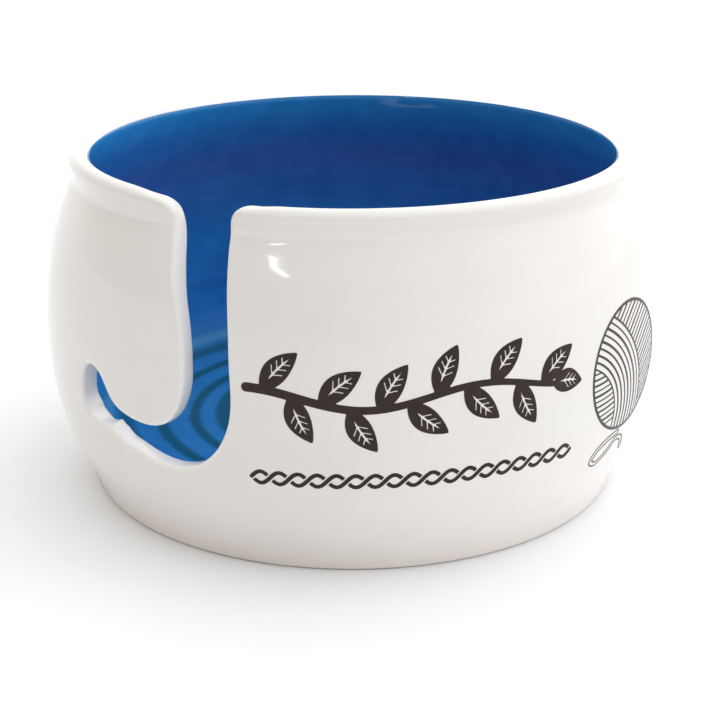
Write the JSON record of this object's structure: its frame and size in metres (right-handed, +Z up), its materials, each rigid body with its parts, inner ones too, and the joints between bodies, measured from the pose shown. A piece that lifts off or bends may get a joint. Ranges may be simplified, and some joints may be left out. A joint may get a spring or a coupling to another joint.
{
  "type": "yarn bowl",
  "caption": "Round-bellied glazed pottery bowl with a J-shaped slot cut down from its rim, which holds a ball of yarn while the strand feeds out.",
  "frame": {"origin": "centre of the foot ring, on the table plane", "axes": "+Z up through the open mouth; -Y is the decorated front; +X is to the right seen from the front; the slot is in the -X half of the front"},
  "size_m": [0.165, 0.1652, 0.09],
  "materials": {
    "clay": "fired, unglazed, fine matt off-white earthenware, seen on the foot ring and underside",
    "white_glaze": "glossy warm white glaze, slightly wavy, thinner and brighter on the edges",
    "blue_glaze": "glossy translucent blue glaze that pools darker in the rings of the floor",
    "brown_print": "fired dark brown transfer print under the gloss",
    "grey_print": "fired dark grey transfer print under the gloss"
  },
  "bodies": {
    "root": {"bowl_body": "clay", "outer_glaze": "white_glaze", "inner_glaze": "blue_glaze", "leaf_garland_transfer": "brown_print", "twisted_cord_transfer": "brown_print", "yarn_ball_transfer": "grey_print", "yarn_tail_transfer": "grey_print"}
  },
  "joints": []
}
